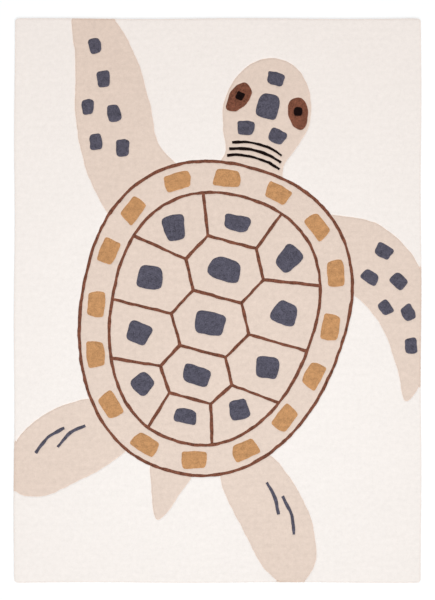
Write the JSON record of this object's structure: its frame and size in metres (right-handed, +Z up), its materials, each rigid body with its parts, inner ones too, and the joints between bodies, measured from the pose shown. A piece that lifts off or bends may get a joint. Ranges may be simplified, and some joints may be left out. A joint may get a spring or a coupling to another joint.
{
  "type": "rectangular kids rug with a tufted animal",
  "caption": "Rectangular hand-tufted rug with short cut pile, lying flat, with a turtle seen from above carved and tufted into it.",
  "frame": {"origin": "on the floor under the middle of the rug, at the middle of its flat underside", "axes": "+Z up out of the pile, +Y along the rug's length towards the animal's head, +X to the right as seen from above"},
  "size_m": [1.3, 1.8, 0.014],
  "materials": {
    "cream_wool": "matte cut pile",
    "beige_wool": "matte cut pile",
    "slate_wool": "matte cut pile",
    "brown_wool": "matte cut pile",
    "ochre_wool": "matte cut pile",
    "black_wool": "matte cut pile",
    "canvas": "plain cotton weave"
  },
  "bodies": {
    "root": {"rug": "cream_wool"}
  },
  "joints": []
}
